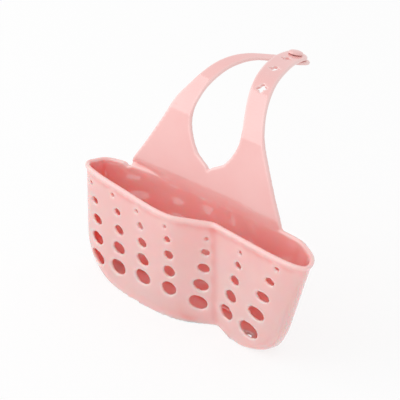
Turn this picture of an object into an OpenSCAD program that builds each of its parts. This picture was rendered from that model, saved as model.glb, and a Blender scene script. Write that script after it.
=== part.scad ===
// Hanging drain basket of soft moulded plastic. A bean-shaped pocket with drain holes has a back wall
// that rises into two strap arms. The arms curl back, cross, and button together into a loop.
// The origin is on the underside of the floor, below the middle of the loop. The front faces -Y.

/* [Basket] */
// Length of the basket over its rim corners
basket_length = 202; // [168:1:244]
// Depth of the basket from its back to the front of the large lobe
basket_depth = 38.2; // [32:0.2:46]
// Height of the basket from its foot to the top of its rim
basket_height = 76.5; // [64:0.5:92]
// Thickness of the basket wall
wall = 2.2; // [1.8:0.1:2.6]
// Thickness of the basket floor
floor_thickness = 2.4; // [2:0.1:3.2]
// Height at which the walls begin to round under
heel_height = 26.5; // [22:0.5:32]

/* [Rim] */
// How far the rim bead stands out from the wall
rim_out = 1.2; // [0.6:0.1:1.8]
// Height of the rim bead
rim_height = 4.5; // [4:0.5:7]
// Radius of the notch in the rim beside the left arm
notch_radius = 2.2; // [1.5:0.1:3]

/* [Drain holes] */
// Half of the height of the holes in the top row
top_hole_radius = 1.2; // [0.9:0.1:1.5]
// Half of the height of the holes in the bottom row
bottom_hole_radius = 4.7; // [3.6:0.1:5]
// Height of the top row of holes as a share of the basket height
top_row_share = 0.87; // [0.84:0.01:0.88]
// Height of the bottom row of holes as a share of the basket height
bottom_row_share = 0.21; // [0.19:0.01:0.24]
// Radius of the holes in the floor
floor_hole_radius = 3; // [2.4:0.1:3.2]

/* [Straps] */
// Length of one strap arm from the rim to its rounded end
strap_length = 144; // [125:1:174]
// Half of the width that the two arms share where they leave the rim
root_half_width = 66; // [55:1:72]
// Thickness of the strap arms
strap_thickness = 2.4; // [2:0.1:3]
// Angle at which the arms lean back from the rim
strap_lean = 13; // [5:1:20]
// Radius of the bend where the arms turn back
bend_radius = 35; // [28:1:42]
// Radius of the slight droop of the crossed ends
droop_radius = 150; // [110:5:300]
// How far the left arm bows outward before it passes under the right one
left_bow = 10.5; // [4:0.5:12]
// How far the left arm sags before it passes under the right one
left_sag = 1.5; // [0:0.5:3]

/* [Snap] */
// Radius of the post of the snap stud
post_radius = 1.4; // [1.2:0.1:1.6]
// Radius of the mushroom head of the snap stud
head_radius = 5; // [4.4:0.1:5.6]
// Height of the domed head
head_height = 2.4; // [1.8:0.1:3]
// Radius of a star hole to the points of its star
star_radius = 3.6; // [3.2:0.1:4]
// Radius of a star hole to the corners between its points
star_waist = 1.8; // [1.8:0.1:2.2]

/* [Hidden] */
$fn = 48;
fit_gap = 0.4;
hinge_gap = 0.3;
outer_wall = [0.95, 0.72, 0.70];

// Corners of the three outlines that the basket is lofted through, from back left round the front:
// share of the length, share of the depth, and roundness. A roundness of 0 leaves the corner sharp,
// and at 1 its curve takes half of each of its two edges.
rim_corners = [[-0.398, 0, 0.8], [-0.451, -0.652, 0.63], [-0.006, -1, 0.48], [0.139, -0.621, 0.1],
    [0.545, -0.812, 0.95], [0.517, -0.324, 0.86], [0.399, 0, 0.5]];
heel_corners = [[-0.453, -0.018, 0.95], [-0.428, -0.748, 0.82], [-0.041, -0.941, 0.56], [0.149, -0.627, 0.12],
    [0.467, -0.895, 0.95], [0.455, -0.455, 0.68], [0.33, -0.018, 0.59]];
foot_corners = [[-0.313, -0.056, 0.74], [-0.31, -0.854, 0.88], [0.017, -1, 0.95], [0.151, -0.544, 0.2],
    [0.272, -0.827, 0.95], [0.374, -0.298, 0.86], [0.281, -0.056, 0.71]];
back_plane = 0.5 * basket_depth;
arc_steps = 7;
edge_steps = 4;
ring_steps = arc_steps + 1 + edge_steps;

// Points of one rounded corner, on a parabola. A positive inset moves the outline inward.
function corner_curve(before, at, after, roundness, inset) =
    let (start = at + (before - at) * roundness / 2)
    let (end = at + (after - at) * roundness / 2)
    [for (i = [0:arc_steps])
        let (t = i / arc_steps)
        let (way = (at - start) * (1 - t) + (end - at) * t)
        start * (1 - t) * (1 - t) + 2 * at * t * (1 - t) + end * t * t
            + inset * [-way.y, way.x] / norm(way)];

// A closed outline of rounded corners joined by straight edges, always with the same number of points
function outline(corners, inset) =
    let (count = len(corners))
    let (flat = [for (c = corners) [c.x * basket_length, back_plane + c.y * basket_depth]])
    let (curves = [for (k = [0:count - 1])
        corner_curve(flat[(k + count - 1) % count], flat[k], flat[(k + 1) % count], corners[k][2], inset)])
    [for (k = [0:count - 1])
        let (from = curves[k][arc_steps])
        let (to = curves[(k + 1) % count][0])
        each concat(curves[k], [for (i = [1:edge_steps]) from + (to - from) * i / (edge_steps + 1)])];

// The outline at a height: straight walls from the rim down, drawn in below the heel along a quarter ellipse
function section(z, inset, base) =
    let (rim = outline(rim_corners, inset))
    let (heel = outline(heel_corners, inset))
    let (foot = outline(foot_corners, inset))
    let (down = (basket_height - z) / (basket_height - heel_height))
    let (down_all = (basket_height - base) / (basket_height - heel_height))
    let (under = max(0, heel_height - z) / (heel_height - base))
    let (drawn_in = 1 - sqrt(max(0, 1 - under * under)))
    [for (i = [0:len(rim) - 1])
        let (slope = heel[i] - rim[i])
        let (p = rim[i] + slope * down + (foot[i] - rim[i] - slope * down_all) * drawn_in)
        [p.x, p.y, z]];

// Solid between successive rings of equal length, closed at each end by a fan from a hub inside the ring
module skin(rings, first_hub, last_hub) {
    count = len(rings[0]);
    last = len(rings) - 1;
    hub = count * len(rings);
    sides = [for (r = [0:last - 1], i = [0:count - 1])
        let (j = (i + 1) % count)
        each [[r * count + i, r * count + count + i, r * count + j],
            [r * count + j, r * count + count + i, r * count + count + j]]];
    fans = [for (i = [0:count - 1])
        let (j = (i + 1) % count)
        each [[hub, i, j], [hub + 1, last * count + j, last * count + i]]];
    points = concat([for (ring = rings, p = ring) p], [first_hub, last_hub]);
    polyhedron(points, concat(sides, fans), convexity = 8);
}

// Heights of the rings of the loft, as shares between two levels
round_angles = [90, 68, 46, 23, 0];
wall_levels = [0.25, 0.5, 0.75];
bead_bottom = basket_height - rim_height;
bead_edge = 1.2;
floor_hub = [0.15, -0.24];

function under_rings(inset, base) =
    [for (a = round_angles) section(heel_height - (heel_height - base) * sin(a), inset, base)];
function wall_rings(inset, base, top) =
    [for (k = wall_levels) section(heel_height + (top - heel_height) * k, inset, base)];

module basket_pocket() {
    bead = [section(bead_bottom, 0, 0), section(bead_bottom + bead_edge, -rim_out, 0),
        section(basket_height - bead_edge, -rim_out, 0), section(basket_height, bead_edge - rim_out, 0)];
    inside = concat(under_rings(wall, floor_thickness), wall_rings(wall, floor_thickness, basket_height),
        [section(basket_height, wall, floor_thickness)]);
    inside_down = [for (i = [len(inside) - 1:-1:0]) inside[i]];
    skin(concat(under_rings(0, 0), wall_rings(0, 0, bead_bottom), bead, inside_down),
        [floor_hub.x * basket_length, back_plane + floor_hub.y * basket_depth, 0],
        [floor_hub.x * basket_length, back_plane + floor_hub.y * basket_depth, floor_thickness]);
}

// Columns of drain holes in the front wall: where each lies along the outline at its top and at its bottom,
// counted in corners from the back left, how far its middle bows aside, how far its top and its bottom
// hole stand above their rows, and how far its holes are drawn out into ovals, as a share of their radius
hole_columns = [[1.351, 1.361, 0.074, -1.1, -2, 0.7], [1.654, 1.655, 0.064, 0.7, 0.7, 0.45],
    [1.94, 2.093, 0.025, -0.2, 3.5, 0.4], [2.357, 2.484, 0.039, -0.2, 3.7, 0.1],
    [2.948, 2.844, 0.018, -3.2, -1.1, 0.37], [3.817, 3.7, 0.024, -1, 0.7, 0.3],
    [4.146, 4.041, -0.008, 1.2, -0.8, 0.9]];
hole_rows = 5;
row_spread = 1.14;
hole_reach = 6;

function along(ring, place) =
    let (spot = place * ring_steps)
    let (whole = floor(spot))
    ring[whole % len(ring)] * (whole + 1 - spot) + ring[(whole + 1) % len(ring)] * (spot - whole);

// A hole square to the wall, round or drawn out sideways into an oval
module drain_hole(place, z, radius, stretch) {
    step = 0.02;
    here = section(z, 0, 0);
    centre = along(here, place);
    sideways = along(here, place + step) - along(here, place - step);
    upward = along(section(z + 1, 0, 0), place) - along(section(z - 1, 0, 0), place);
    out = cross(sideways, upward) / norm(cross(sideways, upward));
    translate(centre)
        rotate([0, acos(out.z), atan2(out.y, out.x)]) {
            for (shift = [-stretch, stretch])
                translate([0, shift, 0])
                    cylinder(r = radius, h = 2 * hole_reach, center = true);
            cube([2 * radius, 2 * stretch, 2 * hole_reach], center = true);
        }
}

module front_holes() {
    for (column = hole_columns, row = [0:hole_rows - 1]) {
        share = row / (hole_rows - 1);
        place = column[0] + (column[1] - column[0]) * share + 4 * column[2] * share * (1 - share);
        row_share = top_row_share + (bottom_row_share - top_row_share) * pow(share, row_spread);
        above_row = column[3] + (column[4] - column[3]) * share;
        radius = top_hole_radius + (bottom_hole_radius - top_hole_radius) * share;
        drain_hole(place, row_share * basket_height + above_row, radius, radius * column[5]);
    }
}

// First and last hole of the floor: share of the length, share of the depth
floor_hole_count = 4;
floor_hole_first = [-0.233, -0.526];
floor_hole_last = [0.268, -0.487];

module floor_holes() {
    for (i = [0:floor_hole_count - 1]) {
        share = floor_hole_first + (floor_hole_last - floor_hole_first) * i / (floor_hole_count - 1);
        translate([share.x * basket_length, back_plane + share.y * basket_depth, -1])
            cylinder(r = floor_hole_radius, h = floor_thickness + 2);
    }
}

// Side view of the arms: straight, then the bend, then the droop. Gives [y, z, angle of the way on].
straight_length = 0.32 * strap_length;
bend_angle = 90 - strap_lean;
bend_length = bend_radius * bend_angle * PI / 180;
strap_root = [back_plane - wall / 2, basket_height];
bend_start = strap_root + straight_length * [sin(strap_lean), cos(strap_lean)];
bend_centre = bend_start + bend_radius * [cos(strap_lean), -sin(strap_lean)];

function side_view(s) =
    let (past = s - straight_length)
    let (bent = past / bend_radius * 180 / PI)
    let (drooped = (past - bend_length) / droop_radius * 180 / PI)
    past <= 0 ? [strap_root.x + s * sin(strap_lean), strap_root.y + s * cos(strap_lean), bend_angle]
    : past <= bend_length ? [bend_centre.x - bend_radius * cos(strap_lean + bent),
        bend_centre.y + bend_radius * sin(strap_lean + bent), bend_angle - bent]
    : [bend_centre.x + droop_radius * sin(drooped),
        bend_centre.y + bend_radius - droop_radius * (1 - cos(drooped)), -drooped];

// Edges of the arm on the right: share of the strap length, inner and outer edge as shares of the root
arm_edges = [[-0.02, -0.02, 1], [0, -0.02, 1], [0.122, 0, 0.856], [0.174, 0.167, 0.795], [0.25, 0.277, 0.709],
    [0.326, 0.317, 0.629], [0.417, 0.285, 0.548], [0.556, 0.167, 0.433], [0.722, 0.012, 0.285],
    [0.833, -0.076, 0.191], [0.931, -0.13, 0.13], [1, -0.161, 0.097]];
// Length of an arm's rounded end, and how blunt its very tip stays
end_round = 9;
end_blunt = 0.004;

// Smooth curve through one column of the table
function edge_slope(i, column) =
    let (a = max(i - 1, 0))
    let (b = min(i + 1, len(arm_edges) - 1))
    (arm_edges[b][column] - arm_edges[a][column]) / (arm_edges[b][0] - arm_edges[a][0]);
function edge_at(share, column) =
    let (i = max([for (k = [0:len(arm_edges) - 2]) arm_edges[k][0] <= share ? k : 0]))
    let (span = arm_edges[i + 1][0] - arm_edges[i][0])
    let (t = (share - arm_edges[i][0]) / span)
    arm_edges[i][column] * (1 + 2 * t) * (1 - t) * (1 - t) + arm_edges[i + 1][column] * t * t * (3 - 2 * t)
    + span * t * (1 - t) * (edge_slope(i, column) * (1 - t) - edge_slope(i + 1, column) * t);

// A gentle step from 0 to 1, and a hump that rises to 1 and falls again
function step_up(t) = let (u = min(1, max(0, t))) u * u * (3 - 2 * u);
function hump(s, from, top, to) = step_up((s - from) / (top - from)) * (1 - step_up((s - top) / (to - top)));

// The left arm narrows, then bows outward and is drawn in where it passes under the right one
left_narrow = 0.2;
narrow_start = 0.35 * strap_length;
narrowest = 0.48 * strap_length;
left_free_end = 0.735 * strap_length;
left_draw = 0.4;
bow_start = 0.4 * strap_length;
bow_top = 0.77 * strap_length;
bow_end = 0.92 * strap_length;
function aside(s, side) = side > 0 ? 0 : hump(s, bow_start, bow_top, bow_end);
function arm_middle(s, side) =
    root_half_width * (edge_at(s / strap_length, 1) + edge_at(s / strap_length, 2)) / 2
    + left_bow * aside(s, side);
function arm_half(s, side) =
    let (plain = root_half_width * (edge_at(s / strap_length, 2) - edge_at(s / strap_length, 1)) / 2)
    let (near_end = max(0, (s - strap_length + end_round) / end_round))
    let (narrow = side > 0 ? 0 : left_narrow * hump(s, narrow_start, narrowest, left_free_end))
    plain * (1 - left_draw * aside(s, side) - narrow) * sqrt(max(end_blunt, 1 - near_end * near_end));

// The right arm rises gradually above the left one, so that it lies on top where they cross.
// The left arm sags before that place and comes up again.
crossing_start = 0.36 * strap_length;
crossing_end = 0.68 * strap_length;
sag_low = 0.57 * strap_length;
lift = strap_thickness + fit_gap;
function rise(s, side) =
    side > 0 ? lift * step_up((s - crossing_start) / (crossing_end - crossing_start))
    : -left_sag * hump(s, crossing_start, sag_low, left_free_end);

// A point of an arm: s along it, x across, and out of its middle surface
function arm_point(s, x, out, side) =
    let (v = side_view(s))
    let (d = out + rise(s, side))
    [x, v[0] - d * sin(v[2]), v[1] + d * cos(v[2])];

arm_steps = 3;
end_steps = 0.75;
half_thick = strap_thickness / 2;

// Stations along an arm, closer together at its rounded end
function stations(from, to) =
    let (fine = max(from, min(to, strap_length - end_round)))
    let (coarse_count = max(1, ceil((fine - from) / arm_steps)))
    let (fine_count = ceil((to - fine) / end_steps))
    concat(fine > from ? [for (i = [0:coarse_count - 1]) from + (fine - from) * i / coarse_count] : [],
        fine_count > 0 ? [for (i = [0:fine_count]) fine + (to - fine) * i / fine_count] : [to]);

module arm(side, from, to) {
    rings = [for (s = stations(from, to))
        let (near = side * arm_middle(s, side) - arm_half(s, side))
        let (far = side * arm_middle(s, side) + arm_half(s, side))
        [arm_point(s, near, -half_thick, side), arm_point(s, near, half_thick, side),
            arm_point(s, far, half_thick, side), arm_point(s, far, -half_thick, side)]];
    skin(rings, arm_point(from, side * arm_middle(from, side), 0, side),
        arm_point(to, side * arm_middle(to, side), 0, side));
}

// Places something at a spot on an arm, with its own Z out of the arm's surface
module on_arm(s, x, out, side) {
    translate(arm_point(s, x, out, side))
        rotate([side_view(s)[2], 0, 0])
            children();
}

// Round end of a bending piece, and the hollow that it turns in
module bend_round(s, side, radius, extra) {
    half = arm_half(s, side) + extra;
    translate(arm_point(s, side * arm_middle(s, side) - half, 0, side))
        rotate([0, 90, 0])
            cylinder(r = radius, h = 2 * half);
}

// Where the arms bend, along the strap, and how far below the rim they are rooted in the back wall
root_sink = 1;
root_bend = 6;
shoulder_bend = 0.35 * strap_length;
left_tip_bend = 0.74 * strap_length;
right_tip_bend = 0.69 * strap_length;
// A round is a little thinner and shorter than the strap it ends, so that they meet in clean edges
round_ease = 0.05;
round_radius = half_thick - round_ease;
hollow_radius = half_thick + hinge_gap;
hollow_extra = 1;

module root_panel(from, to) {
    for (side = [-1, 1])
        arm(side, from, to);
}

// Rounded notch where the rim meets the outer edge of the left arm
notch_reach = 8;
module rim_notch() {
    translate([-root_half_width, back_plane, basket_height])
        rotate([90, 0, 0])
            cylinder(r = notch_radius, h = 2 * notch_reach, center = true);
}

module basket() {
    color(outer_wall)
        difference() {
            union() {
                basket_pocket();
                root_panel(-root_sink, root_bend);
            }
            front_holes();
            floor_holes();
            rim_notch();
            for (side = [-1, 1])
                bend_round(root_bend, side, hollow_radius, hollow_extra);
        }
}

module strap_yoke() {
    color(outer_wall)
        difference() {
            union() {
                root_panel(root_bend, shoulder_bend);
                for (side = [-1, 1])
                    bend_round(root_bend, side, round_radius, -round_ease);
            }
            for (side = [-1, 1])
                bend_round(shoulder_bend, side, hollow_radius, hollow_extra);
        }
}

// Star holes along the right arm, counted back from the stud
stud_place = 0.931 * strap_length;
star_spots = [0, 13.4, 32.6, 53.7];
star_points = 4;

module star_hole(s) {
    corners = [for (k = [0:2 * star_points - 1])
        let (r = k % 2 == 0 ? star_radius : star_waist)
        r * [cos(180 * k / star_points), sin(180 * k / star_points)]];
    // A star's points follow the strap, which leans inward
    lean = atan2(arm_middle(s - 1, 1) - arm_middle(s + 1, 1), 2);
    on_arm(s, arm_middle(s, 1), 0, 1)
        rotate([0, 0, lean])
            linear_extrude(height = 3 * strap_thickness, center = true)
                polygon(corners);
}

module left_strap() {
    color(outer_wall)
        difference() {
            union() {
                arm(-1, shoulder_bend, left_tip_bend);
                bend_round(shoulder_bend, -1, round_radius, -round_ease);
            }
            bend_round(left_tip_bend, -1, hollow_radius, hollow_extra);
        }
}

module left_strap_tip() {
    color(outer_wall) {
        arm(-1, left_tip_bend, strap_length);
        bend_round(left_tip_bend, -1, round_radius, -round_ease);
    }
}

module right_strap() {
    color(outer_wall)
        difference() {
            union() {
                arm(1, shoulder_bend, right_tip_bend);
                bend_round(shoulder_bend, 1, round_radius, -round_ease);
            }
            bend_round(right_tip_bend, 1, hollow_radius, hollow_extra);
            star_hole(stud_place - star_spots[3]);
        }
}

module right_strap_tip() {
    color(outer_wall)
        difference() {
            union() {
                arm(1, right_tip_bend, strap_length);
                bend_round(right_tip_bend, 1, round_radius, -round_ease);
            }
            for (k = [0:2])
                star_hole(stud_place - star_spots[k]);
        }
}

module snap_stud() {
    post_height = lift + hinge_gap;
    dome_radius = (head_radius * head_radius + head_height * head_height) / (2 * head_height);
    color(outer_wall)
        on_arm(stud_place, -arm_middle(stud_place, -1), half_thick, -1) {
            cylinder(r = post_radius, h = post_height);
            translate([0, 0, post_height])
                intersection() {
                    cylinder(r = head_radius, h = head_height);
                    translate([0, 0, head_height - dome_radius])
                        sphere(r = dome_radius);
                }
        }
}

basket();
strap_yoke();
left_strap();
left_strap_tip();
snap_stud();
right_strap();
right_strap_tip();
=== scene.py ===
# %% [markdown]
# # A hanging drain basket of soft silicone
#
# The real object is one soft moulding that hangs on a kitchen tap: a bean-shaped pocket full of drain holes,
# with a back wall that grows into two straps. The straps curl back, cross, and button together.
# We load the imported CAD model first. It gives the bodies that the pieces ride on and the size to keep to.

import math

import bpy
import numpy as np
from mathutils import Matrix, Vector


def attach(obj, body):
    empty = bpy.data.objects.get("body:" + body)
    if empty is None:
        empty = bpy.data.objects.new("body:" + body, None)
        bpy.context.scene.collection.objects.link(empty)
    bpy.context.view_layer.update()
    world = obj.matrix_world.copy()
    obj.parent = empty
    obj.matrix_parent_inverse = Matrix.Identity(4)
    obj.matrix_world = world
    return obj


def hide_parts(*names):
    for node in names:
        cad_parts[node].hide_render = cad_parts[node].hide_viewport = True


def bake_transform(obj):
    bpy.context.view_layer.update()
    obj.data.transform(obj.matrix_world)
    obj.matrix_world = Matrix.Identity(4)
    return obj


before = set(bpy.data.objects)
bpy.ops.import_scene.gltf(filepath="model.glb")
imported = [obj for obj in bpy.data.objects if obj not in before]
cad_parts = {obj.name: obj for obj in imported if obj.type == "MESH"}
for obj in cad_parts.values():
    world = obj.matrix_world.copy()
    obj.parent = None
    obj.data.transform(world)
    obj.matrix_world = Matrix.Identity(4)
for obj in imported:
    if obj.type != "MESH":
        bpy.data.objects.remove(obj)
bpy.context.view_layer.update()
print("CAD nodes:", sorted(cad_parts))

# %% [markdown]
# ## Sizes
#
# All sizes are in millimetres, as a maker would write them, and are turned to metres when a point is placed.
# They repeat the driving sizes of the CAD model, so that every smooth piece lies where its CAD node is.

# %% Sizes in millimetres
MM = 0.001
basket_length = 202
basket_depth = 38.2
basket_height = 76.5
wall = 2.2
floor_thickness = 2.4
heel_height = 26.5
back_plane = 0.5 * basket_depth

rim_out = 1.2
rim_height = 4.5
rim_top_round = 1.7
notch_radius = 2.2

strap_length = 144
root_half_width = 66
strap_thickness = 2.4
strap_lean = 13
bend_radius = 35
droop_radius = 150
fit_gap = 0.4
half_thick = strap_thickness / 2
print("basket:", basket_length, "x", basket_depth, "x", basket_height, "mm, straps:", strap_length, "mm")

# %% [markdown]
# ## A helper that forms a grid
#
# Every smooth shape here is a grid primitive whose corners are moved to where a formula puts them, much as
# sheet material is formed over a mould. The grid's two directions become "around" and "along" the shape.
# Corners that land on each other are merged, which closes the seam and the two ends. Extruding ring after
# ring would give the same skin, but a formula keeps it in step with the CAD model.

# %% Select one piece, and form a grid
merge_distance = 0.001


def only(piece):
    """Select this piece alone and make it active."""
    bpy.ops.object.select_all(action="DESELECT")
    piece.select_set(True)
    bpy.context.view_layer.objects.active = piece


def formed_grid(name, columns, rows, place):
    """A closed piece from a grid primitive: place(column, row) gives each corner in millimetres."""
    bpy.ops.object.select_all(action="DESELECT")
    bpy.ops.mesh.primitive_grid_add(x_subdivisions=columns, y_subdivisions=rows, size=1)
    piece = bpy.context.active_object
    piece.name = name
    for corner in piece.data.vertices:
        column = round((corner.co.x + 0.5) * columns)
        row = round((corner.co.y + 0.5) * rows)
        corner.co = Vector(place(column, row)) * MM
    bpy.ops.object.mode_set(mode="EDIT")
    bpy.ops.mesh.select_all(action="SELECT")
    bpy.ops.mesh.remove_doubles(threshold=merge_distance * MM)
    bpy.ops.mesh.normals_make_consistent(inside=False)
    bpy.ops.object.mode_set(mode="OBJECT")
    return piece


def apply_modifier(piece, kind, **settings):
    """Add one modifier, set it up and apply it."""
    only(piece)
    modifier = piece.modifiers.new(kind.lower(), kind)
    for key, value in settings.items():
        setattr(modifier, key, value)
    bpy.ops.object.modifier_apply(modifier=modifier.name)


print("corners closer than", merge_distance, "mm are merged")

# %% [markdown]
# ## The outline of the pocket
#
# Seen from above, the pocket is a bean with a wide lobe, a crease and a narrow lobe. An outline is a list of
# corners, each cut off by a smooth curve that takes a share of its two edges. Three outlines, at the rim, the
# heel and the foot, give the whole wall: it runs straight from rim to heel and then draws in along a quarter
# ellipse to the flat foot. Curves drawn by hand could do this too, but this is the CAD model's own rule, so
# the two walls lie on each other.

# %% Outlines from rounded corners
# Share of the length, share of the depth, and roundness: 0 is a sharp corner, 1 takes half of each edge
rim_corners = [(-0.398, 0, 0.8), (-0.451, -0.652, 0.63), (-0.006, -1, 0.48), (0.139, -0.621, 0.1),
               (0.545, -0.812, 0.95), (0.517, -0.324, 0.86), (0.399, 0, 0.5)]
heel_corners = [(-0.453, -0.018, 0.95), (-0.428, -0.748, 0.82), (-0.041, -0.941, 0.56), (0.149, -0.627, 0.12),
                (0.467, -0.895, 0.95), (0.455, -0.455, 0.68), (0.33, -0.018, 0.59)]
foot_corners = [(-0.313, -0.056, 0.74), (-0.31, -0.854, 0.88), (0.017, -1, 0.95), (0.151, -0.544, 0.2),
                (0.272, -0.827, 0.95), (0.374, -0.298, 0.86), (0.281, -0.056, 0.71)]
arc_steps = 21
edge_steps = 14
corner_steps = arc_steps + 1 + edge_steps
outline_points = corner_steps * len(rim_corners)


def corner_curve(before, at, after, roundness, inset):
    """Points of one rounded corner, on a parabola. A positive inset moves the outline inward."""
    start = at + (before - at) * roundness / 2
    end = at + (after - at) * roundness / 2
    t = np.linspace(0, 1, arc_steps + 1)[:, None]
    points = start * (1 - t) ** 2 + 2 * at * t * (1 - t) + end * t ** 2
    way = (at - start) * (1 - t) + (end - at) * t
    inward = np.column_stack([-way[:, 1], way[:, 0]]) / np.linalg.norm(way, axis=1, keepdims=True)
    return points + inset * inward


def outline(corners, inset):
    """A closed outline of rounded corners joined by straight edges."""
    flat = [np.array([x * basket_length, back_plane + y * basket_depth]) for x, y, _ in corners]
    count = len(flat)
    curves = []
    for k in range(count):
        curves.append(corner_curve(flat[k - 1], flat[k], flat[(k + 1) % count], corners[k][2], inset))
    parts = []
    for k in range(count):
        start = curves[k][-1]
        end = curves[(k + 1) % count][0]
        shares = np.linspace(0, 1, edge_steps + 2)[1:-1, None]
        parts += [curves[k], start + (end - start) * shares]
    return np.concatenate(parts)


def section(z, inset, base):
    """The pocket's outline at a height, for a wall whose inside or outside stands on base."""
    rim = outline(rim_corners, inset)
    slope = outline(heel_corners, inset) - rim
    foot = outline(foot_corners, inset)
    down = (basket_height - z) / (basket_height - heel_height)
    down_all = (basket_height - base) / (basket_height - heel_height)
    under = max(0, heel_height - z) / (heel_height - base)
    drawn_in = 1 - math.sqrt(max(0, 1 - under * under))
    flat = rim + slope * down + (foot - rim - slope * down_all) * drawn_in
    return np.column_stack([flat, np.full(len(flat), z)])


print("outline points:", outline_points)

# %% [markdown]
# ## The pocket
#
# One closed skin goes from the middle of the underside, up the outer wall, over the rolled rim and down the
# inner wall to the middle of the floor. A shell with Solidify would be quicker, but it could not give the rim
# its bead or the floor its own thickness.

# %% Rings of the pocket's skin
floor_hub = (0.15 * basket_length, back_plane - 0.24 * basket_depth)
round_steps = 12
wall_steps = 12
bead_steps = 6
top_steps = 12
bead_swell = 2.6
bead_bottom = basket_height - rim_height


def smooth_step(t):
    """A ramp from 0 to 1 that starts and ends gently."""
    t = min(1, max(0, t))
    return t * t * (3 - 2 * t)


def hub_ring(z):
    """All points of a ring gathered in one point of the floor."""
    return np.tile([*floor_hub, z], (outline_points, 1))


def under_rings(inset, base):
    """Rings from the foot up to the heel."""
    angles = np.radians(np.linspace(90, 0, round_steps))
    return [section(heel_height - (heel_height - base) * math.sin(a), inset, base) for a in angles]


def wall_rings(inset, base, top):
    """Rings from just above the heel to the top of the plain wall."""
    return [section(z, inset, base) for z in np.linspace(heel_height, top, wall_steps)[1:]]


def rim_rings():
    """Rings of the bead that swells out of the wall and rolls over the top."""
    rings = []
    for t in np.linspace(0, 1, bead_steps)[1:]:
        rings.append(section(bead_bottom + bead_swell * t, -rim_out * smooth_step(t), 0))
    middle = (wall - rim_out) / 2
    reach = (wall + rim_out) / 2
    for angle in np.radians(np.linspace(0, 180, top_steps)):
        z = basket_height - rim_top_round * (1 - math.sin(angle))
        rings.append(section(z, middle - reach * math.cos(angle), 0))
    return rings


print("bead from", bead_bottom, "to", basket_height, "mm")

# %% Form the pocket
inside_top = basket_height - 2 * rim_top_round
inside = under_rings(wall, floor_thickness) + wall_rings(wall, floor_thickness, inside_top)
pocket_rings = [hub_ring(0)] + under_rings(0, 0) + wall_rings(0, 0, bead_bottom) + rim_rings()
pocket_rings += inside[::-1] + [hub_ring(floor_thickness)]
pocket = formed_grid("pocket", outline_points, len(pocket_rings) - 1,
                     lambda column, row: pocket_rings[row][column % outline_points])
print("pocket faces:", len(pocket.data.polygons))

# %% [markdown]
# ## Drain holes
#
# The holes stand in columns and grow from pinholes under the rim to ovals near the floor. One cutter is
# modelled: a short turned plug that flares at the outer face, so that each hole gets a soft lip. It is copied
# to every place, stretched to the hole's size, and all the copies are cut away in one Boolean, which is
# quicker than one Boolean for each hole.

# %% Where the holes are
# For each column: where it lies along the outline at its top and at its bottom, counted in corners, how far
# its middle bows aside, how far its top and bottom hole stand above their rows, and the ovals' stretch
hole_columns = [(1.351, 1.361, 0.074, -1.1, -2, 0.7), (1.654, 1.655, 0.064, 0.7, 0.7, 0.45),
                (1.94, 2.093, 0.025, -0.2, 3.5, 0.4), (2.357, 2.484, 0.039, -0.2, 3.7, 0.1),
                (2.948, 2.844, 0.018, -3.2, -1.1, 0.37), (3.817, 3.7, 0.024, -1, 0.7, 0.3),
                (4.146, 4.041, -0.008, 1.2, -0.8, 0.9)]
hole_rows = 5
row_spread = 1.14
top_hole_radius = 1.2
bottom_hole_radius = 4.7
top_row = 0.87 * basket_height
bottom_row = 0.21 * basket_height
floor_hole_radius = 3
floor_hole_count = 4
floor_hole_first = np.array([-0.233 * basket_length, back_plane - 0.526 * basket_depth, 0])
floor_hole_last = np.array([0.268 * basket_length, back_plane - 0.487 * basket_depth, 0])
print("drain holes:", len(hole_columns) * hole_rows, "in the wall,", floor_hole_count, "in the floor")

# %% One flared cutter
# The cutter reaches through the wall and stands out of it
plug_inner = -6
plug_outer = 2
# Radius as a share of the hole's own, and height above the outer face
plug_lip = [(1, -1.3), (1.02, -0.8), (1.05, -0.4), (1.1, 0), (1.16, 0.5)]
plug_flare = plug_lip[-1][0]
plug_profile = [(0, plug_inner), (1, plug_inner), *plug_lip, (plug_flare, plug_outer), (0, plug_outer)]
plug_sides = 40


def turned(profile, sides):
    """A place function that turns a profile of (radius, height) round the Z axis."""
    def place(column, row):
        angle = 2 * math.pi * (column % sides) / sides
        radius, height = profile[row]
        return (radius * math.cos(angle), radius * math.sin(angle), height)
    return place


plug = formed_grid("drain_plug", plug_sides, len(plug_profile) - 1, turned(plug_profile, plug_sides))
print("plug faces:", len(plug.data.polygons))

# %% Place the cutter on the wall
# Steps along the outline, in corners, and up the wall, in millimetres, that measure the wall's directions
side_step = 0.02
up_step = 1


def along(ring, place):
    """The point of a ring at a place that is counted in corners."""
    spot = place * corner_steps
    whole = math.floor(spot)
    near = ring[whole % len(ring)]
    far = ring[(whole + 1) % len(ring)]
    return near + (far - near) * (spot - whole)


def wall_frame(place, z):
    """Centre of a hole on the outer wall, and its directions down, along and out of the wall."""
    here = section(z, 0, 0)
    sideways = along(here, place + side_step) - along(here, place - side_step)
    sideways /= np.linalg.norm(sideways)
    upward = along(section(z + up_step, 0, 0), place) - along(section(z - up_step, 0, 0), place)
    out = np.cross(sideways, upward)
    out /= np.linalg.norm(out)
    return along(here, place), np.cross(sideways, out), sideways, out


def matrix_of(centre, across, along_wall, out):
    """The matrix that carries a cutter's own axes to these directions, in metres."""
    turn = Matrix([Vector(across), Vector(along_wall), Vector(out)]).transposed().to_4x4()
    return Matrix.Translation(Vector(centre) * MM) @ turn


def copy_plug(matrix, radius, stretch):
    """One copy of the cutter, with its own mesh, at a hole."""
    copy = plug.copy()
    copy.data = plug.data.copy()
    bpy.context.scene.collection.objects.link(copy)
    copy.data.transform(matrix @ Matrix.Diagonal((radius, radius + stretch, 1, 1)))
    return copy


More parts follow.
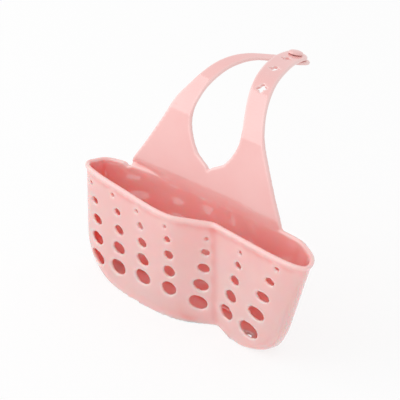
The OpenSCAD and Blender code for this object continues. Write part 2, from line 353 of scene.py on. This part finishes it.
plugs = []
for top, bottom, bow, top_lift, bottom_lift, stretch_share in hole_columns:
    for share in np.linspace(0, 1, hole_rows):
        # The bow is a parabola, and is full in the middle of the column
        place = top + (bottom - top) * share + 4 * bow * share * (1 - share)
        row_height = top_row + (bottom_row - top_row) * share ** row_spread
        z = row_height + top_lift + (bottom_lift - top_lift) * share
        radius = top_hole_radius + (bottom_hole_radius - top_hole_radius) * share
        plugs.append(copy_plug(matrix_of(*wall_frame(place, z)), radius, radius * stretch_share))
for share in np.linspace(0, 1, floor_hole_count):
    centre = floor_hole_first + (floor_hole_last - floor_hole_first) * share
    plugs.append(copy_plug(matrix_of(centre, (1, 0, 0), (0, -1, 0), (0, 0, -1)), floor_hole_radius, 0))
print("plugs placed:", len(plugs))

# %% Cut the holes
def joined(pieces, name):
    """Several pieces as one."""
    only(pieces[0])
    for piece in pieces:
        piece.select_set(True)
    bpy.ops.object.join()
    bpy.context.active_object.name = name
    return bpy.context.active_object


def cut(piece, cutter):
    """Cut a cutter away from a piece."""
    apply_modifier(piece, "BOOLEAN", object=cutter, operation="DIFFERENCE", solver="EXACT")


drain_plugs = joined(plugs, "drain_plugs")
cut(pocket, drain_plugs)
print("holes:", len(plugs), "pocket faces after cutting:", len(pocket.data.polygons))

# %% [markdown]
# ## The straps
#
# Each strap is a band that runs straight up, turns back round a bend and droops a little. Its two edges come
# from a short table and a smooth curve through it. The band's own section is flat with rounded edges, as a
# moulded strap is. The right strap rises over the left one where they cross. The left one sags a little and
# bows outward before it passes underneath, and is drawn in there. A curve with a bevel would be a quick band,
# but it couldn't change its width and its path apart from each other.

# %% Side view of a strap
straight_length = 0.32 * strap_length
bend_angle = 90 - strap_lean
bend_length = bend_radius * math.radians(bend_angle)
root_ease = 6
lean = math.radians(strap_lean)
strap_root = np.array([back_plane - wall / 2, basket_height])
lean_way = np.array([math.sin(lean), math.cos(lean)])
bend_start = strap_root + straight_length * lean_way
bend_centre = bend_start + bend_radius * np.array([math.cos(lean), -math.sin(lean)])
ease_radius = 2 * root_ease / lean
ease_end = strap_root + root_ease * lean_way
ease_start = ease_end - ease_radius * np.array([1 - math.cos(lean), math.sin(lean)])


def side_view(s):
    """The strap's middle at s along it: y, z, and the angle of the way on, in radians."""
    past = s - straight_length
    if s < -root_ease:
        return ease_start[0], ease_start[1] + s + root_ease, math.pi / 2
    if s < root_ease:
        turned_by = (s + root_ease) / ease_radius
        y = ease_start[0] + ease_radius * (1 - math.cos(turned_by))
        return y, ease_start[1] + ease_radius * math.sin(turned_by), math.pi / 2 - turned_by
    if past <= 0:
        return (*(strap_root + s * lean_way), math.pi / 2 - lean)
    if past <= bend_length:
        turned_by = lean + past / bend_radius
        y = bend_centre[0] - bend_radius * math.cos(turned_by)
        return y, bend_centre[1] + bend_radius * math.sin(turned_by), math.pi / 2 - turned_by
    drooped = (past - bend_length) / droop_radius
    y = bend_centre[0] + droop_radius * math.sin(drooped)
    return y, bend_centre[1] + bend_radius - droop_radius * (1 - math.cos(drooped)), -drooped


print("length of the bend:", round(bend_length, 1), "mm")

# %% Edges of a strap
# Share of the strap length, inner and outer edge as shares of the half width at the root
arm_edges = np.array([
    (-0.1, -0.02, 1), (0, -0.02, 1), (0.122, 0, 0.856), (0.174, 0.167, 0.795), (0.25, 0.277, 0.709),
    (0.326, 0.317, 0.629), (0.417, 0.285, 0.548), (0.556, 0.167, 0.433), (0.722, 0.012, 0.285),
    (0.833, -0.076, 0.191), (0.931, -0.13, 0.13), (1, -0.161, 0.097)])


def edge_slope(i, column):
    """Slope of the edge curve at one row of the table."""
    a = max(i - 1, 0)
    b = min(i + 1, len(arm_edges) - 1)
    return (arm_edges[b, column] - arm_edges[a, column]) / (arm_edges[b, 0] - arm_edges[a, 0])


def edge_at(share, column):
    """A smooth curve through one column of the table."""
    i = max(0, min(int(np.searchsorted(arm_edges[:, 0], share, side="right")) - 1, len(arm_edges) - 2))
    span = arm_edges[i + 1, 0] - arm_edges[i, 0]
    t = (share - arm_edges[i, 0]) / span
    value = arm_edges[i, column] * (1 + 2 * t) * (1 - t) ** 2 + arm_edges[i + 1, column] * t * t * (3 - 2 * t)
    return value + span * t * (1 - t) * (edge_slope(i, column) * (1 - t) - edge_slope(i + 1, column) * t)


print("rows of the edge table:", len(arm_edges))

# %% Path and width of each strap
end_round = 9
end_blunt = 0.004
crossing_start = 0.36 * strap_length
crossing_end = 0.68 * strap_length
crossing_lift = strap_thickness + fit_gap
left_sag = 1.5
sag_low = 0.57 * strap_length
left_narrow = 0.2
narrow_start = 0.35 * strap_length
narrowest = 0.48 * strap_length
left_free_end = 0.735 * strap_length
left_bow = 10.5
left_draw = 0.4
bow_start = 0.4 * strap_length
bow_top = 0.77 * strap_length
bow_end = 0.92 * strap_length


def hump(s, start, top, end):
    """A gentle hump that rises from 0 to 1 and falls again."""
    return smooth_step((s - start) / (top - start)) * (1 - smooth_step((s - top) / (end - top)))


def aside(s, side):
    """How far the left strap is in its bow, from 0 to 1. The right one has none."""
    return hump(s, bow_start, bow_top, bow_end) if side < 0 else 0


def arm_middle(s, side):
    """How far the middle of the strap lies from the centre plane."""
    plain = root_half_width * (edge_at(s / strap_length, 1) + edge_at(s / strap_length, 2)) / 2
    return plain + left_bow * aside(s, side)


def arm_half(s, side):
    """Half of the strap's width, drawn in at the rounded end."""
    plain = root_half_width * (edge_at(s / strap_length, 2) - edge_at(s / strap_length, 1)) / 2
    near_end = max(0, (s - strap_length + end_round) / end_round)
    narrow = left_narrow * hump(s, narrow_start, narrowest, left_free_end) if side < 0 else 0
    return plain * (1 - left_draw * aside(s, side) - narrow) * math.sqrt(max(end_blunt, 1 - near_end ** 2))


def rise(s, side):
    """How far the strap stands above the plain side view."""
    if side > 0:
        return crossing_lift * smooth_step((s - crossing_start) / (crossing_end - crossing_start))
    return -left_sag * hump(s, crossing_start, sag_low, left_free_end)


def arm_point(s, x, out, side):
    """A point of a strap: s along it, x across, and out of its middle surface."""
    y, z, way = side_view(s)
    height = out + rise(s, side)
    return np.array([x, y - height * math.sin(way), z + height * math.cos(way)])


print("lift at the crossing:", crossing_lift, "mm")

# %% Form a strap from its sections
edge_round_steps = 8
flat_steps = 16
band_step = 0.8
band_columns = 2 * (edge_round_steps + flat_steps)


def band_section(half):
    """Points round the strap's section: two flat faces and two rounded edges."""
    edge = min(half, half_thick)
    flat = half - edge
    quarter = np.linspace(-math.pi / 2, math.pi / 2, edge_round_steps + 1)
    right = np.column_stack([flat + edge * np.cos(quarter), half_thick * np.sin(quarter)])
    across = np.linspace(flat, -flat, flat_steps + 1)[1:-1]
    top = np.column_stack([across, np.full(len(across), half_thick)])
    return np.concatenate([right, top, -right, -top])


def band(name, side, start, end):
    """A closed strap from one place along it to another."""
    count = round((end - start) / band_step)
    stations = np.linspace(start, end, count + 1)
    rings = []
    for s in stations:
        middle = side * arm_middle(s, side)
        rings.append([arm_point(s, middle + x, out, side) for x, out in band_section(arm_half(s, side))])
    first = [arm_point(start, side * arm_middle(start, side), 0, side)] * band_columns
    last = [arm_point(end, side * arm_middle(end, side), 0, side)] * band_columns
    rings = [first] + rings + [last]
    return formed_grid(name, band_columns, len(rings) - 1,
                       lambda column, row: rings[row][column % band_columns])


root_depth = -9
root_bend = 6
shoulder_bend = 0.35 * strap_length
left_tip_bend = 0.74 * strap_length
right_tip_bend = 0.69 * strap_length
# The roots and the free straps lap over each other here, and are parted at the bend later
shoulder_lap = 12
past_shoulder = shoulder_bend + shoulder_lap
roots = [band("left_root", -1, root_depth, past_shoulder), band("right_root", 1, root_depth, past_shoulder)]
print("strap root faces:", [len(piece.data.polygons) for piece in roots])

# %% [markdown]
# ## Melting the pocket and the strap roots into one
#
# Where the straps grow out of the back wall the real moulding has no edge at all, and a Boolean union would
# leave one. A voxel Remesh melts the pieces into one skin instead, and a few passes of Smooth take the last
# voxel steps away, which also leaves the soft edges that silicone has round every hole.

# %% Notch beside the left strap, then melt and smooth
notch_reach = 8
notch_profile = [(0, -notch_reach), (notch_radius, -notch_reach),
                 (notch_radius, notch_reach), (0, notch_reach)]
notch_place = (-root_half_width, back_plane, basket_height)
notch = formed_grid("rim_notch", plug_sides, len(notch_profile) - 1, turned(notch_profile, plug_sides))
notch.data.transform(matrix_of(notch_place, (1, 0, 0), (0, 0, -1), (0, 1, 0)))
cut(pocket, notch)
cut(roots[0], notch)
smooth_factor = 0.5


def melt(piece, voxel, passes):
    """Melt overlapping skins into one, and smooth it."""
    apply_modifier(piece, "REMESH", mode="VOXEL", voxel_size=voxel * MM, use_smooth_shade=True)
    apply_modifier(piece, "SMOOTH", factor=smooth_factor, iterations=passes)


body_voxel = 0.92
body_passes = 4
shell = joined([pocket] + roots, "basket_shell")
melt(shell, body_voxel, body_passes)
print("shell faces:", len(shell.data.polygons))

# %% [markdown]
# ## The free straps, the star holes and the stud
#
# The free part of each strap is formed in the same way, with finer voxels because its star holes are small.
# The star holes let the loop be made shorter or longer. The stud is a mushroom that is squeezed through one.
# At the shoulder two skins meet, and the smallest step between them would show as a line in the gloss. A
# Shrinkwrap draws the start of each strap close under the fork's skin, which hides where it starts.

# %% Form the straps, cut the star holes
stud_place = 0.931 * strap_length
star_spots = [0, 13.4, 32.6, 53.7]
star_radius = 3.6
star_waist = 1.8
star_reach = 4
star_sides = 64
star_sharpness = 1.6
strap_voxel = 0.5
strap_passes = 8


def star_cutter(s):
    """A prism with a four-pointed star as its section, square to the right strap at s and turned with it."""
    heights = [-star_reach, -star_reach, star_reach, star_reach]
    way = side_view(s)[2]
    ahead = 1
    lean_in = math.atan2(arm_middle(s - ahead, 1) - arm_middle(s + ahead, 1), 2 * ahead)

    def place(column, row):
        angle = 2 * math.pi * (column % star_sides) / star_sides
        radius = star_waist + (star_radius - star_waist) * abs(math.cos(2 * angle)) ** star_sharpness
        # The first and the last row gather in one point each and close the ends
        radius *= 0 if row in (0, 3) else 1
        centre = arm_point(s, arm_middle(s, 1), heights[row], 1)
        across = radius * math.cos(angle + lean_in)
        onward = radius * math.sin(angle + lean_in)
        return centre + np.array([across, onward * math.cos(way), onward * math.sin(way)])
    return formed_grid("star_cutter", star_sides, 3, place)


before_shoulder = shoulder_bend - shoulder_lap
left_band = band("left_band", -1, before_shoulder, strap_length)
right_band = band("right_band", 1, before_shoulder, strap_length)
star_cutters = joined([star_cutter(stud_place - spot) for spot in star_spots], "star_cutters")
cut(right_band, star_cutters)
for strap in (left_band, right_band):
    melt(strap, strap_voxel, strap_passes)
    print(strap.name, "faces:", len(strap.data.polygons))

# %% Seat the straps on the fork
# How far the start of a strap lies under the fork's skin, and the length in which it comes free of it
tuck_under = 0.04
tuck_fade = 9


def bend_plane(s, side):
    """A point on the plane that stands square across a strap at s, in metres, and the plane's normal."""
    way = side_view(s)[2]
    return Vector(arm_point(s, 0, 0, side)) * MM, Vector((0, math.cos(way), math.sin(way)))


def sit_on(strap, skin, s, side):
    """Draw the start of a strap close under another skin, so that no step shows where they meet at s."""
    where, normal = bend_plane(s, side)
    group = strap.vertex_groups.new(name="start")
    for corner in strap.data.vertices:
        past = (corner.co - where).dot(normal) / MM
        group.add([corner.index], 1 - smooth_step(past / tuck_fade), "REPLACE")
    apply_modifier(strap, "SHRINKWRAP", target=skin, vertex_group=group.name, wrap_mode="ABOVE_SURFACE",
                   offset=-tuck_under * MM)


for strap, side in ((left_band, -1), (right_band, 1)):
    sit_on(strap, shell, shoulder_bend, side)
    print(strap.name, "sits", tuck_under, "mm under the skin at", shoulder_bend, "mm")

# %% Turn the stud
post_radius = 1.4
head_radius = 5
head_height = 2.4
head_clearance = 0.3
post_height = crossing_lift + head_clearance
# The post's foot widens by these amounts at these heights, and its neck by one bevel under the head
foot_fillet = [(0.5, 0), (0.12, 0.25), (0, 0.6)]
neck_bevel = 0.3
head_edge = 0.7
head_edge_points = 8
dome_from = 60
dome_steps = 10
stud_sides = 64
edge_out = head_radius - head_edge
edge_up = post_height + head_edge
stud_profile = [(0, 0)] + [(post_radius + wider, height) for wider, height in foot_fillet]
stud_profile += [(post_radius, post_height - neck_bevel), (post_radius + neck_bevel, post_height)]
for angle in np.radians(np.linspace(-90, dome_from, head_edge_points)):
    stud_profile.append((edge_out + head_edge * math.cos(angle), edge_up + head_edge * math.sin(angle)))
dome_start = stud_profile[-1]
for share in np.linspace(0, 1, dome_steps + 1)[1:]:
    height = dome_start[1] + (post_height + head_height - dome_start[1]) * math.sin(share * math.pi / 2)
    stud_profile.append((dome_start[0] * math.cos(share * math.pi / 2), height))
stud = formed_grid("snap_button", stud_sides, len(stud_profile) - 1, turned(stud_profile, stud_sides))
stud_way = side_view(stud_place)[2]
stud_out = (0, -math.sin(stud_way), math.cos(stud_way))
stud_along = (0, math.cos(stud_way), math.sin(stud_way))
stud_base = arm_point(stud_place, -arm_middle(stud_place, -1), half_thick, -1)
stud.data.transform(matrix_of(stud_base, (1, 0, 0), stud_along, stud_out))
print("stud faces:", len(stud.data.polygons))

# %% [markdown]
# ## Lips and folds: painted light and painted shade
#
# Thin lips and edges of the real silicone look paler, because light goes through them, and a fold such as the
# crease looks deeper, because light goes from one wall to the other there. Both are painted into the colour
# here: painted light, a paler colour, on the lips, and painted shade, a deeper colour, in the folds. How
# strongly each point bulges or folds is measured from its neighbours and kept in two attributes that the
# material reads. The Pointiness output of a Geometry node could find them too, but it can't be spread as wide
# as a fold is.

# %% Measure the lips and folds for painted light and painted shade
# How strong a bulge, per millimetre, makes a lip fully pale with painted light, and how strong a hollow makes
# a fold fully deep with painted shade
lip_bulge = 0.32
fold_bulge = -0.038


def mark_edges(piece, lip_passes, fold_passes):
    """Store how far each point is on a lip and how far it is in a fold, each from 0 to 1, as masks for
    painted light and painted shade.
    """
    mesh = piece.data
    points = np.empty(len(mesh.vertices) * 3)
    mesh.vertices.foreach_get("co", points)
    points = points.reshape(-1, 3) / MM
    normals = np.empty(len(points) * 3)
    mesh.vertex_normals.foreach_get("vector", normals)
    normals = normals.reshape(-1, 3)
    edges = np.empty(len(mesh.edges) * 2, dtype=int)
    mesh.edges.foreach_get("vertices", edges)
    a, b = edges.reshape(-1, 2).T
    count = np.bincount(a, minlength=len(points)) + np.bincount(b, minlength=len(points))

    def mean_of_neighbours(values):
        total = np.bincount(a, values[b], len(points)) + np.bincount(b, values[a], len(points))
        return total / np.maximum(count, 1)

    middle = np.stack([mean_of_neighbours(points[:, k]) for k in range(3)], axis=1)
    spacing = np.linalg.norm(points[a] - points[b], axis=1).mean()
    bulge = np.einsum("ij,ij->i", points - middle, normals) / spacing ** 2
    for name, full, passes in (("lip", lip_bulge, lip_passes), ("fold", fold_bulge, fold_passes)):
        spread = bulge
        for _ in range(passes):
            spread = (spread + mean_of_neighbours(spread)) / 2
        values = np.clip(spread / full, 0, 1).astype(np.float32)
        attribute = mesh.attributes.new(name, "FLOAT", "POINT")
        attribute.data.foreach_set("value", values)
        print(piece.name, name, "mean:", round(float(values.mean()), 3))


# A finer mesh needs more passes for a lip of the same width, and the small turned stud needs few
mark_edges(shell, lip_passes=2, fold_passes=16)
mark_edges(left_band, lip_passes=4, fold_passes=16)
mark_edges(right_band, lip_passes=4, fold_passes=16)
mark_edges(stud, lip_passes=1, fold_passes=2)

# %% [markdown]
# ## Parting the skin at the bends
#
# The CAD model bends at the root of the straps, at the shoulder and near each end. The smooth skins are
# parted on the same planes, so that each piece stands for one CAD node. Bisect with fill leaves closed pieces
# whose sections match. Only at the shoulder, where two skins meet, do the straps start a little early.

# %% Bisect at the bends
def part(piece, s, side, beyond_name):
    """Cut a piece square across at s along a strap. The part beyond becomes a new piece."""
    where, normal = bend_plane(s, side)
    beyond = piece.copy()
    beyond.data = piece.data.copy()
    beyond.name = beyond_name
    bpy.context.scene.collection.objects.link(beyond)
    for half, drop_inner in ((piece, False), (beyond, True)):
        only(half)
        bpy.ops.object.mode_set(mode="EDIT")
        bpy.ops.mesh.select_all(action="SELECT")
        bpy.ops.mesh.bisect(plane_co=where, plane_no=normal, use_fill=True,
                            clear_inner=drop_inner, clear_outer=not drop_inner)
        bpy.ops.object.mode_set(mode="OBJECT")
    return beyond


# The straps start a little below the fork's end, so that no crack shows between the two
seam_overlap = 0.8
yoke = part(shell, root_bend, -1, "strap_fork")
scraps = [part(yoke, shoulder_bend, -1, "fork_scrap")]
left_arm = part(left_band, shoulder_bend - seam_overlap, -1, "left_arm")
left_end = part(left_arm, left_tip_bend, -1, "left_end")
right_arm = part(right_band, shoulder_bend - seam_overlap, 1, "right_arm")
right_end = part(right_arm, right_tip_bend, 1, "right_end")
scraps += [left_band, right_band, plug, drain_plugs, notch, star_cutters]
for scrap in scraps:
    bpy.data.objects.remove(scrap)
pieces = [shell, yoke, left_arm, left_end, right_arm, right_end, stud]
smooth_limit = math.radians(50)
for piece in pieces:
    only(piece)
    bpy.ops.object.shade_smooth_by_angle(angle=smooth_limit)
    print(piece.name, "faces:", len(piece.data.polygons))

# %% [markdown]
# ## Moulded silicone
#
# Silicone rubber from a polished mould is glossy and a little cloudy, and light wanders some millimetres
# inside it, so shadows in the pocket turn to a warm coral. The colour drifts a little over the piece. Thin
# lips are made paler, which is painted light, and folds are made deeper, which is painted shade. A faint
# grain of the mould breaks up the gloss. One material serves all the pieces, because they are one moulding,
# and it reads Object coordinates, so that it runs on across the partings.

# %% Colours and the node helper
def linear(hex_colour):
    """An sRGB hex colour as linear RGBA."""
    channels = [int(hex_colour[k:k + 2], 16) / 255 for k in (1, 3, 5)]
    return (*[c / 12.92 if c <= 0.04045 else ((c + 0.055) / 1.055) ** 2.4 for c in channels], 1)


def add(tree, kind, inputs=None, **settings):
    """Add a node, set its properties, and set or link its inputs."""
    node = tree.nodes.new(kind)
    for key, value in settings.items():
        setattr(node, key, value)
    for key, value in (inputs or {}).items():
        if isinstance(value, bpy.types.NodeSocket):
            tree.links.new(value, node.inputs[key])
        else:
            node.inputs[key].default_value = value
    return node


skin_colour = linear("#F9BFBB")
warm_colour = linear("#F8BAB6")
# The lip colour is painted light: a paler colour for the light that goes through thin lips
lip_painted_light_colour = linear("#FCDFDB")
# The fold colour is painted shade: a deeper colour for the crease and other folds
fold_painted_shade_colour = linear("#EC938C")
print("skin colour, linear:", [round(value, 3) for value in skin_colour])

# %% The silicone material
# Polished silicone mirrors what is near it clearly, and glows coral in its own shade
drift_size = 26
# Noise keeps near its middle, so this part of its range is stretched to the whole
drift_low = 0.35
drift_high = 0.65
# The grain of a real mould is near 0.1 mm. It is drawn coarser here, so that it shows in the render.
grain_size = 0.9
grain_depth = 0.05
grain_strength = 0.03
sharpest_gloss = 0.06
dullest_gloss = 0.1
# Silicone's own IOR is near 1.41. It and the specular level are raised to match the gloss in the photo.
gloss_ior = 1.6
gloss_level = 1
glow_depth = 8
glow_colours = (1, 0.2, 0.15)
glow_fade = 6

silicone = bpy.data.materials.new("moulded_silicone_pink")
silicone.use_nodes = True
tree = silicone.node_tree
tree.nodes.clear()
coordinates = add(tree, "ShaderNodeTexCoord").outputs["Object"]
drift = add(tree, "ShaderNodeTexNoise", {"Vector": coordinates, "Scale": 1 / (drift_size * MM), "Detail": 3})
drift_share = add(tree, "ShaderNodeMapRange", {
    "Value": drift.outputs["Fac"], "From Min": drift_low, "From Max": drift_high})
tone = add(tree, "ShaderNodeMix", {
    "Factor": drift_share.outputs["Result"], "A": skin_colour, "B": warm_colour}, data_type="RGBA")
# Painted light: the lip attribute mixes in a paler colour on lips and edges
lip = add(tree, "ShaderNodeAttribute", attribute_name="lip")
lip_painted_light = add(tree, "ShaderNodeMix", {
    "Factor": lip.outputs["Fac"], "A": tone.outputs["Result"], "B": lip_painted_light_colour}, data_type="RGBA")
# Painted shade: the fold attribute mixes in a deeper colour in folds and the crease
fold = add(tree, "ShaderNodeAttribute", attribute_name="fold")
colour = add(tree, "ShaderNodeMix", {
    "Factor": fold.outputs["Fac"], "A": lip_painted_light.outputs["Result"], "B": fold_painted_shade_colour}, data_type="RGBA")
grain = add(tree, "ShaderNodeTexNoise", {"Vector": coordinates, "Scale": 1 / (grain_size * MM), "Detail": 2})
bump = add(tree, "ShaderNodeBump", {
    "Height": grain.outputs["Fac"], "Strength": grain_strength, "Distance": grain_depth * MM})
gloss = add(tree, "ShaderNodeMapRange", {
    "Value": grain.outputs["Fac"], "To Min": sharpest_gloss, "To Max": dullest_gloss})
# Light wanders through the thin wall of the pocket. It fades out at the rim, because the parted straps above
# would show a dark line at each parting.
axes = add(tree, "ShaderNodeSeparateXYZ", {"Vector": coordinates})
glow = add(tree, "ShaderNodeMapRange", {
    "Value": axes.outputs["Z"], "From Min": (basket_height + glow_fade) * MM,
    "From Max": (basket_height - glow_fade) * MM})
skin = add(tree, "ShaderNodeBsdfPrincipled", {
    "Base Color": colour.outputs["Result"], "Roughness": gloss.outputs["Result"],
    "Normal": bump.outputs["Normal"], "IOR": gloss_ior, "Specular IOR Level": gloss_level,
    "Subsurface Weight": glow.outputs["Result"], "Subsurface Radius": glow_colours,
    "Subsurface Scale": glow_depth * MM})
add(tree, "ShaderNodeOutputMaterial", {"Surface": skin.outputs["BSDF"]})
for piece in pieces:
    piece.data.materials.clear()
    piece.data.materials.append(silicone)
print("material:", silicone.name)

# %% [markdown]
# ## Riding on the CAD bodies
#
# The pocket moves with the basket body, and the stud with the end of the left strap. The other pieces are not
# attached to any body: their transforms are only baked into their meshes.


def bends(piece):
    """Bake a piece's transform into its mesh. It is not attached to any body."""
    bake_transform(piece)


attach(shell, "basket")
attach(stud, "left_tip")
bends(yoke)
bends(left_arm)
bends(left_end)
bends(right_arm)
bends(right_end)
stands_for = [(shell, "basket"), (yoke, "strap_yoke"), (left_arm, "left_strap"), (left_end, "left_strap_tip"),
              (right_arm, "right_strap"), (right_end, "right_strap_tip"), (stud, "snap_stud")]
for piece, node in stands_for:
    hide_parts(node)
print("pieces:", [piece.name for piece, _ in stands_for])

# %% [markdown]
# ## Floor and light
#
# The object stands on a pale floor in a white studio. A large soft lamp at the front left shades the far side
# of the crease and shows as a pale field in the gloss of the straps. A small lamp would show there as a hard
# white patch. The world fills the rest.

# %% Floor
white = linear("#FFFFFF")
floor_size = 8
floor_glow = 0.8

bpy.ops.object.select_all(action="DESELECT")
bpy.ops.mesh.primitive_plane_add(size=floor_size)
floor = bpy.context.active_object
floor.name = "studio_floor"


def seen_directly(tree):
    """1 for rays that show the background in the picture, in gloss or through glass, and 0 for light."""
    path = add(tree, "ShaderNodeLightPath")
    mirrored = add(tree, "ShaderNodeMath", {
        0: path.outputs["Is Glossy Ray"], 1: path.outputs["Is Transmission Ray"]}, operation="MAXIMUM")
    seen = add(tree, "ShaderNodeMath", {
        0: path.outputs["Is Camera Ray"], 1: mirrored.outputs[0]}, operation="MAXIMUM")
    return seen.outputs[0]


# Matt white paint takes the object's soft shadow, and is near to white where the camera sees it
floor_paint = bpy.data.materials.new("matt_white_floor")
floor_paint.use_nodes = True
tree = floor_paint.node_tree
tree.nodes.clear()
paint = add(tree, "ShaderNodeBsdfDiffuse", {"Color": white})
shine = add(tree, "ShaderNodeEmission", {"Color": white, "Strength": 1})
shine_share = add(tree, "ShaderNodeMath", {0: seen_directly(tree), 1: floor_glow}, operation="MULTIPLY")
both = add(tree, "ShaderNodeMixShader", {0: shine_share.outputs[0], 1: paint.outputs[0], 2: shine.outputs[0]})
add(tree, "ShaderNodeOutputMaterial", {"Surface": both.outputs[0]})
floor.data.materials.append(floor_paint)
print("floor:", floor.name, "of", floor_size, "m")

# %% World
fill_level = 0.78
world = bpy.data.worlds.new("white_studio")
bpy.context.scene.world = world
world.use_nodes = True
tree = world.node_tree
tree.nodes.clear()
fill = add(tree, "ShaderNodeBackground", {"Color": white, "Strength": fill_level})
backdrop = add(tree, "ShaderNodeBackground", {"Color": white, "Strength": 1})
both = add(tree, "ShaderNodeMixShader", {0: seen_directly(tree), 1: fill.outputs[0], 2: backdrop.outputs[0]})
add(tree, "ShaderNodeOutputWorld", {"Surface": both.outputs[0]})
print("fill level:", fill_level)

# %% Key lamp at the front left
key_azimuth = math.radians(-50)
key_elevation = math.radians(30)
key_distance = 1.2
key_size = 1.5
key_power = 6
key_target = Vector((0, 0, 0.5 * basket_height * MM))


def way_towards(azimuth, elevation):
    """The direction to a lamp or a camera, with its azimuth counted from the front to the right."""
    flat = math.cos(elevation)
    return Vector((math.sin(azimuth) * flat, -math.cos(azimuth) * flat, math.sin(elevation)))


key_way = way_towards(key_azimuth, key_elevation)
bpy.ops.object.select_all(action="DESELECT")
bpy.ops.object.light_add(type="AREA", location=key_target + key_way * key_distance)
key = bpy.context.active_object
key.name = "key_lamp"
key.rotation_euler = key_way.to_track_quat("Z", "Y").to_euler()
key.data.size = key_size
key.data.energy = key_power
print("key lamp at", [round(value, 3) for value in key.location])

# %% [markdown]
# ## Camera
#
# The photograph was taken from the front right and above, from far away, so a long lens is used. The camera
# could be moved by hand until the pictures agree. Here it is placed so that one known point, the top of the
# back wall in the middle, falls on its own pixel, which leaves only the angles to be found.

# %% Camera at the photograph's angle
azimuth = math.radians(42.7)
elevation = math.radians(29)
roll = math.radians(0.5)
picture_size = 400
pixels_per_metre = 1556
focal_pixels = 2600
sensor_width = 36
# The known point, and how far right of and above the middle of the picture it is seen
known_point = Vector((0, back_plane, basket_height)) * MM
known_right = 5.9
known_up = 5.5

level = Vector((math.cos(azimuth), math.sin(azimuth), 0))
back = way_towards(azimuth, elevation)
steep = back.cross(level)
right = level * math.cos(roll) + steep * math.sin(roll)
up = back.cross(right)
target = known_point - (right * known_right + up * known_up) / pixels_per_metre
bpy.ops.object.camera_add()
camera = bpy.context.active_object
camera.name = "photo_camera"
turn = Matrix([right, up, back]).transposed().to_4x4()
camera.matrix_world = Matrix.Translation(target + back * focal_pixels / pixels_per_metre) @ turn
camera.data.sensor_width = sensor_width
camera.data.lens = focal_pixels * sensor_width / picture_size
bpy.context.scene.camera = camera
bpy.context.scene.view_settings.view_transform = "Standard"
print("camera distance:", round(focal_pixels / pixels_per_metre, 3))
